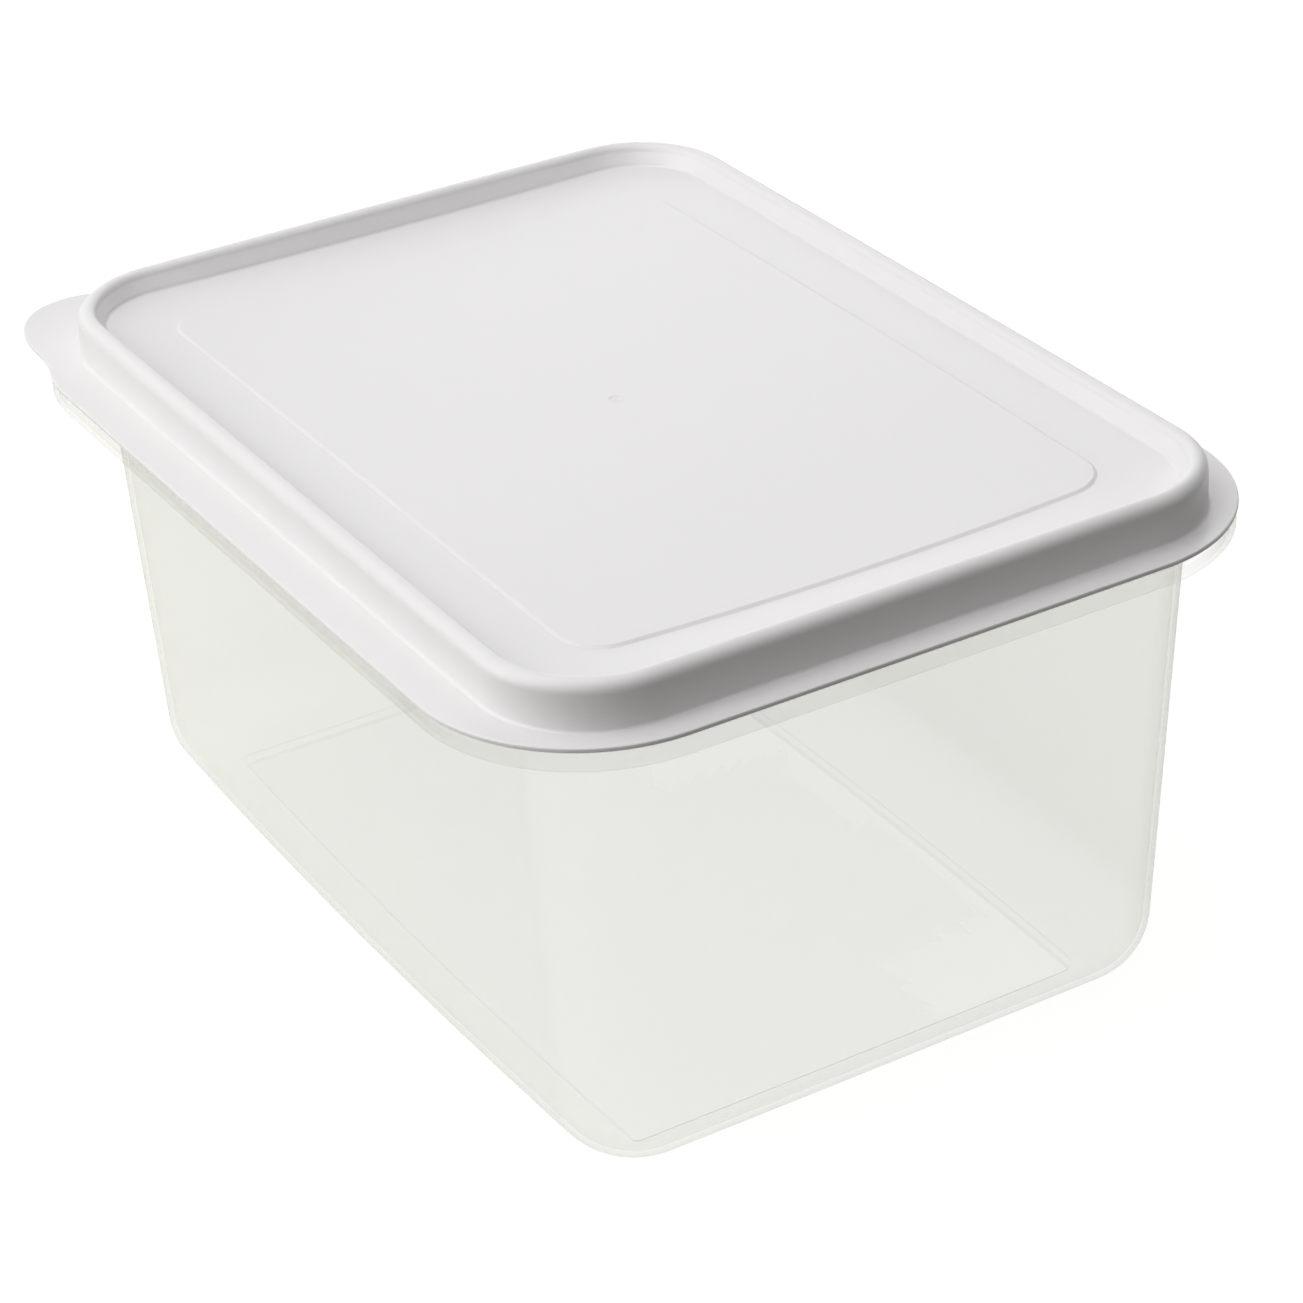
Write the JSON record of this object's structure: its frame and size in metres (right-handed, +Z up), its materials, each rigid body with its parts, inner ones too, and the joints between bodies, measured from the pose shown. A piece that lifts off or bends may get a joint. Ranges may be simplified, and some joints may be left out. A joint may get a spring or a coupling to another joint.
{
  "type": "dough proofing container",
  "caption": "Translucent rectangular dough proofing tub with a white press-on lid that has a rounded crest, a recessed top and a corner pull tab.",
  "frame": {"origin": "middle of the flat foot under the tub, on the surface that the tub stands on", "axes": "+Z up out of the tub's mouth, +Y along the long sides, +X along the short sides; the lid's pull tab is at the -X +Y corner"},
  "size_m": [0.2398, 0.3216, 0.1602],
  "materials": {
    "tub_plastic": "translucent natural polypropylene, satin",
    "lid_plastic": "white moulded plastic, satin"
  },
  "bodies": {
    "tub": {"tub": "tub_plastic"},
    "lid": {"lid": "lid_plastic"}
  },
  "joints": [
    {"name": "lid_lift", "type": "slide", "parent": "tub", "child": "lid", "axis": [0, 0, 1], "range_m": [0, 0.2]}
  ]
}
